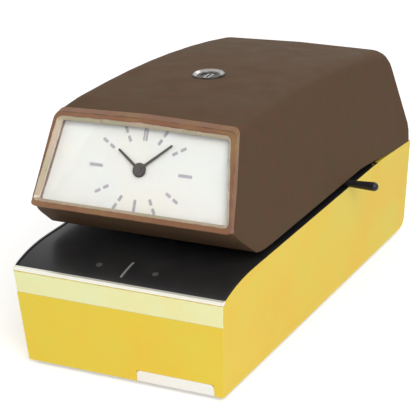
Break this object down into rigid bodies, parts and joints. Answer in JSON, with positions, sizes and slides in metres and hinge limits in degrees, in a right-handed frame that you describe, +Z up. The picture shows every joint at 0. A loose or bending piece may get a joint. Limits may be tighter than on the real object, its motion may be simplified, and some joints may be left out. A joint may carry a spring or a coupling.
{
  "type": "date and time stamp machine",
  "caption": "Desk machine that stamps date and time on paper: wedge-sided base with a table and throat, lift-off cover with a sloping clock, lock and paper-stop lever.",
  "frame": {"origin": "on the desk, under the middle of the base, at the centre of the four foot screws", "axes": "+X towards the machine's right as its user sees it, +Y towards its rear, +Z up"},
  "size_m": [0.1715, 0.3002, 0.1624],
  "materials": {
    "base_yellow": "smooth satin enamel over a thin steel tub",
    "cover_brown": "fine matt moulded texture",
    "bezel_copper": "satin copper-brown lacquer with bright worn edges",
    "cream_band": "satin pale band",
    "bright_lip": "bright plated strip",
    "ivory_badge": "bare pale plate",
    "table_black": "gloss black enamel",
    "table_mark": "pale printed guide marks",
    "steel_plate": "zinc-plated sheet",
    "ground_steel": "ground rod",
    "blackened_steel": "blackened sheet",
    "zinc": "yellow-passivated zinc",
    "rubber": "moulded black rubber",
    "pad_rubber": "firm dark red rubber",
    "motor_can": "drawn can",
    "ribbon_cloth": "inked woven ribbon",
    "coil_tape": "varnished winding tape",
    "core_iron": "varnished laminations",
    "board": "printed board",
    "cast_arm": "painted casting",
    "lever_black": "black plastic sleeve, faint blue sheen",
    "black_plastic": "moulded black plastic",
    "type_brass": "machined brass",
    "nylon": "natural nylon",
    "lens": "clear moulded lens",
    "dial_white": "white printed dial",
    "hour_grey": "grey printed marks",
    "movement_case": "grey moulded movement case",
    "lock_chrome": "bright turned ring",
    "lock_body": "nickel-plated zinc",
    "hand_black": "black baton hands"
  },
  "bodies": {
    "chassis": {"base_shell": "base_yellow", "bottom_plate": "steel_plate", "rubber_feet": "rubber", "mounting_nuts": "zinc", "bottom_screws": "zinc", "front_band": "cream_band", "table_trim": "bright_lip", "badge_plate": "ivory_badge", "table_plate": "table_black", "table_marks": "table_mark", "left_frame": "steel_plate", "right_frame": "steel_plate", "tie_rods": "zinc", "frame_screws": "zinc", "chassis_screws": "zinc", "head_plate": "blackened_steel", "type_brackets": "steel_plate", "type_shaft": "ground_steel", "drive_motor": "motor_can", "ribbon_brackets": "steel_plate", "ribbon": "ribbon_cloth", "hammer_shaft": "ground_steel", "solenoid_frame": "zinc", "solenoid_coil": "coil_tape", "transformer": "core_iron", "control_board": "board", "cord_bush": "rubber", "lock_catch": "steel_plate"},
    "hammer": {"hammer_arm": "cast_arm", "hammer_pad": "pad_rubber"},
    "plunger": {"solenoid_plunger": "ground_steel"},
    "paper_stop": {"stop_carriage": "steel_plate", "stop_lever": "lever_black", "trigger_switch": "black_plastic", "trigger_pin": "ground_steel"},
    "trigger": {"trigger_finger": "black_plastic"},
    "minute_wheel": {"minute_type_wheel": "type_brass"},
    "hour_wheel": {"hour_type_wheel": "type_brass"},
    "date_wheel": {"date_type_wheel": "type_brass"},
    "month_wheel": {"month_type_wheel": "type_brass"},
    "year_wheel": {"year_type_wheel": "type_brass"},
    "idler": {"idler_gear": "nylon"},
    "pinion": {"motor_pinion": "type_brass"},
    "left_spool": {"left_ribbon_spool": "black_plastic"},
    "right_spool": {"right_ribbon_spool": "black_plastic"},
    "cover": {"cover_shell": "cover_brown", "bezel_frame": "bezel_copper", "dial_lens": "lens", "dial_plate": "dial_white", "hour_marks": "hour_grey", "dial_retainer": "steel_plate", "dial_screws": "zinc", "clock_movement": "movement_case", "lock_ring": "lock_chrome", "lock_barrel": "lock_body", "lock_nut": "zinc"},
    "lock": {"lock_plug": "lock_body", "lock_cam": "zinc"},
    "hour": {"hour_hand": "hand_black"},
    "minute": {"minute_hand": "hand_black"}
  },
  "joints": [
    {"name": "cover_lift", "type": "slide", "parent": "chassis", "child": "cover", "axis": [0, 0, 1], "range_m": [0, 0.1]},
    {"name": "lock_turn", "type": "hinge", "parent": "cover", "child": "lock", "pos_m": [0, -0.0168, 0.143], "axis": [0, 0, -1], "range_deg": [0, 90]},
    {"name": "minute_turn", "type": "hinge", "parent": "cover", "child": "minute", "pos_m": [0, -0.10996, 0.12725], "axis": [0, 0.8926, -0.4509], "continuous": true},
    {"name": "hour_turn", "type": "hinge", "parent": "cover", "child": "hour", "pos_m": [0, -0.10996, 0.12725], "axis": [0, 0.8926, -0.4509], "continuous": true},
    {"name": "stop_slide", "type": "slide", "parent": "chassis", "child": "paper_stop", "axis": [0, 1, 0], "range_m": [-0.04, 0.018]},
    {"name": "trigger_tilt", "type": "hinge", "parent": "paper_stop", "child": "trigger", "pos_m": [0.014, 0.027, 0.0886], "axis": [1, 0, 0], "range_deg": [0, 14], "stiffness_Nm_per_rad": 0.004, "springref_deg": -20.05},
    {"name": "hammer_swing", "type": "hinge", "parent": "chassis", "child": "hammer", "pos_m": [0, 0.04, 0.047], "axis": [-1, 0, 0], "range_deg": [0, 5.5]},
    {"name": "plunger_pull", "type": "slide", "parent": "chassis", "child": "plunger", "axis": [0, 0, -1], "range_m": [0, 0.0035]},
    {"name": "minute_wheel_turn", "type": "hinge", "parent": "chassis", "child": "minute_wheel", "pos_m": [0, -0.05, 0.0968], "axis": [1, 0, 0], "continuous": true},
    {"name": "hour_wheel_turn", "type": "hinge", "parent": "chassis", "child": "hour_wheel", "pos_m": [0, -0.05, 0.0968], "axis": [1, 0, 0], "continuous": true},
    {"name": "date_wheel_turn", "type": "hinge", "parent": "chassis", "child": "date_wheel", "pos_m": [0, -0.05, 0.0968], "axis": [1, 0, 0], "continuous": true},
    {"name": "month_wheel_turn", "type": "hinge", "parent": "chassis", "child": "month_wheel", "pos_m": [0, -0.05, 0.0968], "axis": [1, 0, 0], "continuous": true},
    {"name": "year_wheel_turn", "type": "hinge", "parent": "chassis", "child": "year_wheel", "pos_m": [0, -0.05, 0.0968], "axis": [1, 0, 0], "continuous": true},
    {"name": "idler_turn", "type": "hinge", "parent": "chassis", "child": "idler", "pos_m": [0, -0.02181, 0.10706], "axis": [1, 0, 0], "continuous": true},
    {"name": "pinion_turn", "type": "hinge", "parent": "chassis", "child": "pinion", "pos_m": [0, 0.00183, 0.11123], "axis": [1, 0, 0], "continuous": true},
    {"name": "left_spool_turn", "type": "hinge", "parent": "chassis", "child": "left_spool", "pos_m": [-0.044, -0.05, 0.099], "axis": [0, 1, 0], "continuous": true},
    {"name": "right_spool_turn", "type": "hinge", "parent": "chassis", "child": "right_spool", "pos_m": [0.044, -0.05, 0.099], "axis": [0, 1, 0], "continuous": true}
  ],
  "couplings": [
    {"joint": "hour_turn", "follows": "minute_turn", "ratio": 0.083333},
    {"joint": "plunger_pull", "follows": "hammer_swing", "m_per_rad": 0.035},
    {"joint": "hour_wheel_turn", "follows": "minute_wheel_turn", "ratio": 0.083333},
    {"joint": "idler_turn", "follows": "minute_wheel_turn", "ratio": -0.66667},
    {"joint": "pinion_turn", "follows": "minute_wheel_turn", "ratio": 2},
    {"joint": "left_spool_turn", "follows": "right_spool_turn", "ratio": 1}
  ]
}
